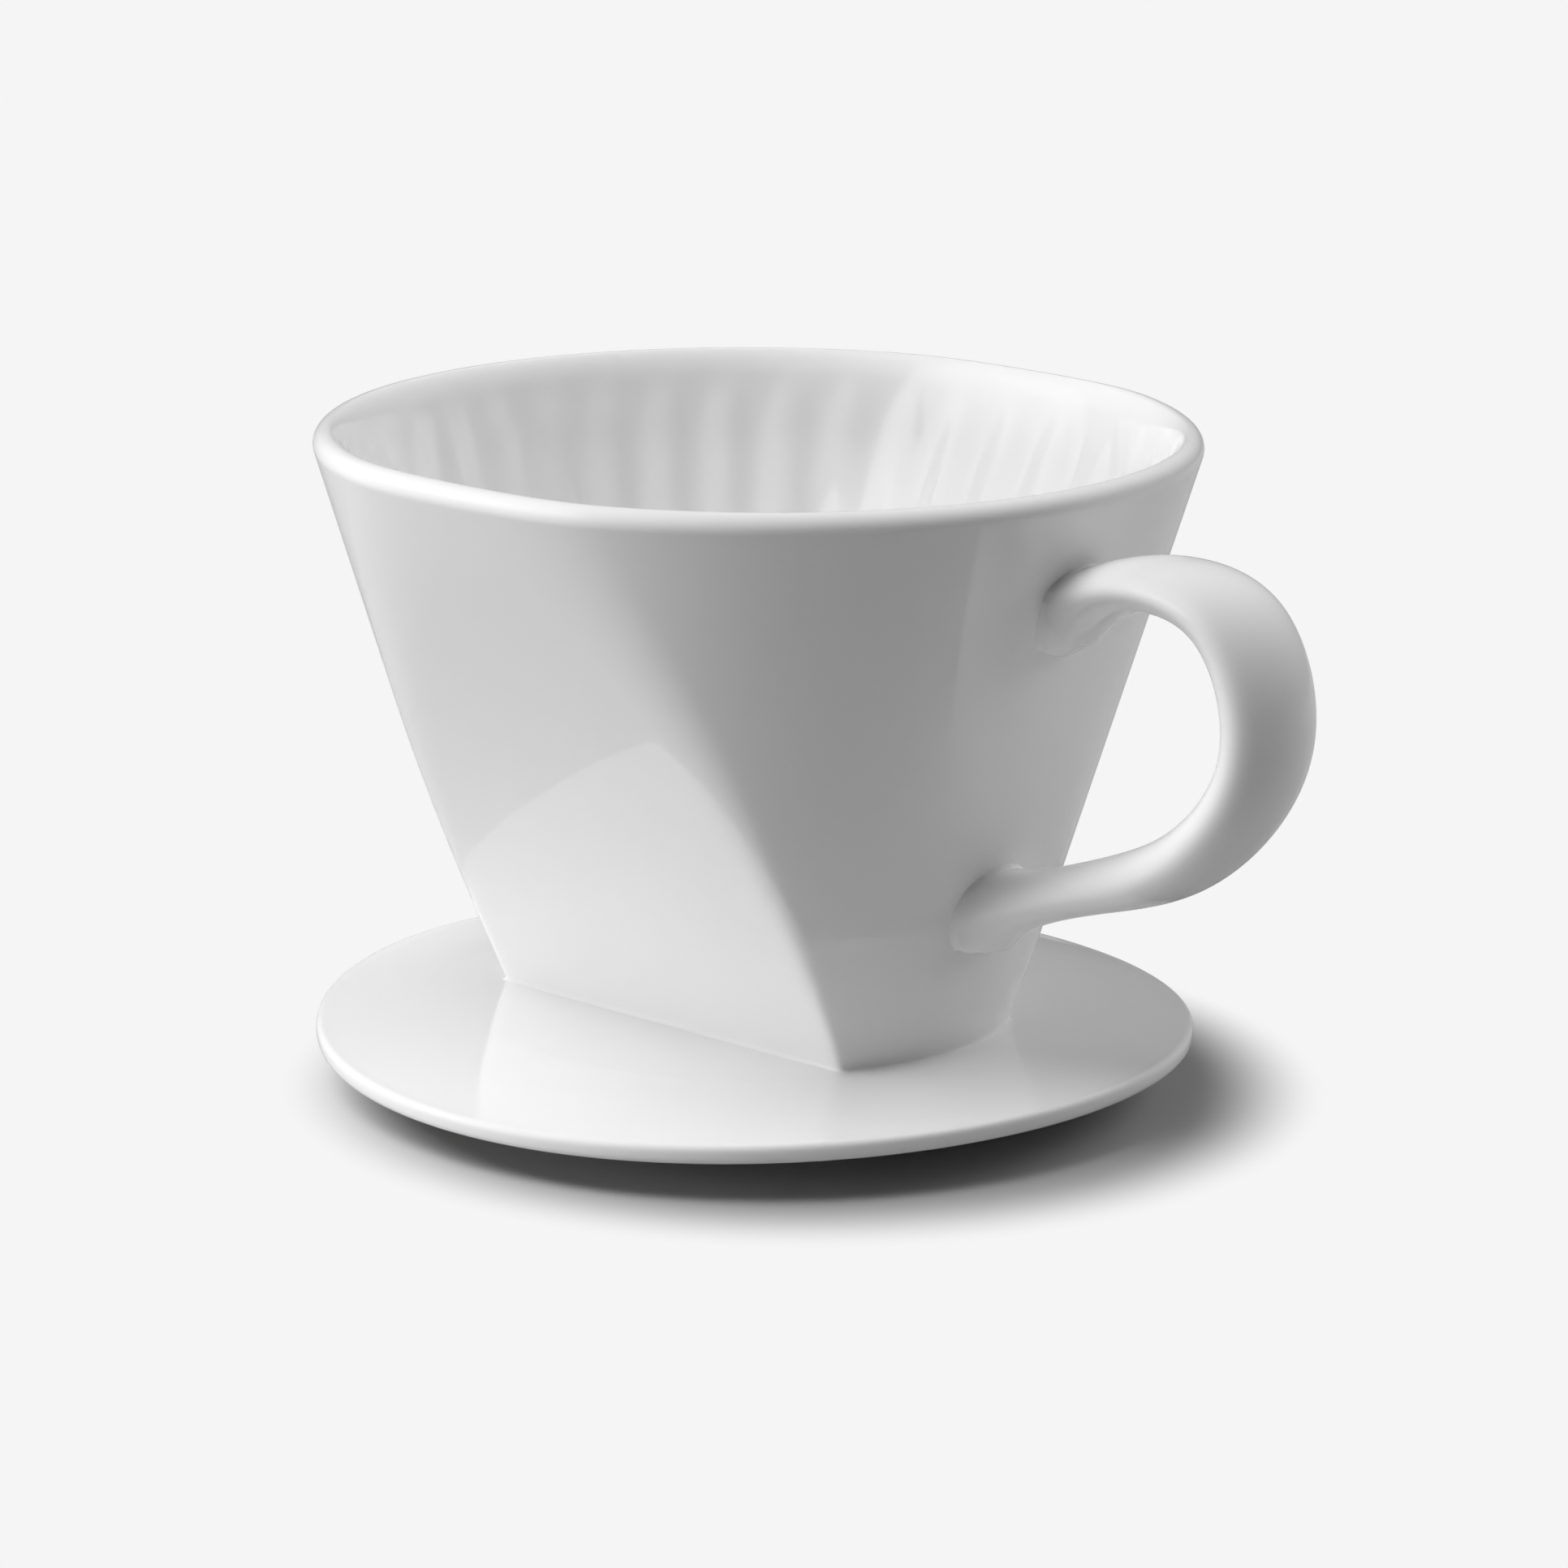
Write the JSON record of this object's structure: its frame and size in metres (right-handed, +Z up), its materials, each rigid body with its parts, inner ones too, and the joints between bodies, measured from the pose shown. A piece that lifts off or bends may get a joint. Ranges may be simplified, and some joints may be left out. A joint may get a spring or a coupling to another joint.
{
  "type": "pour over dripper",
  "caption": "White glazed porcelain pour over dripper: ribbed wedge bowl with a round rim, standing on a round saucer, with one loop handle and a locating ring under the saucer.",
  "frame": {"origin": "on the table, under the middle of the bounding box", "axes": "+X points to the handle, +Z points up out of the bowl"},
  "size_m": [0.152, 0.1206, 0.0901],
  "materials": {
    "bowl_glaze": "clear gloss glaze over white porcelain",
    "saucer_glaze": "clear gloss glaze over white porcelain",
    "handle_glaze": "clear gloss glaze over white porcelain",
    "foot_biscuit": "bare fired porcelain, wiped clean of glaze where it stands"
  },
  "bodies": {
    "root": {"filter_bowl": "bowl_glaze", "saucer": "saucer_glaze", "handle": "handle_glaze", "locating_ring": "foot_biscuit"}
  },
  "joints": []
}
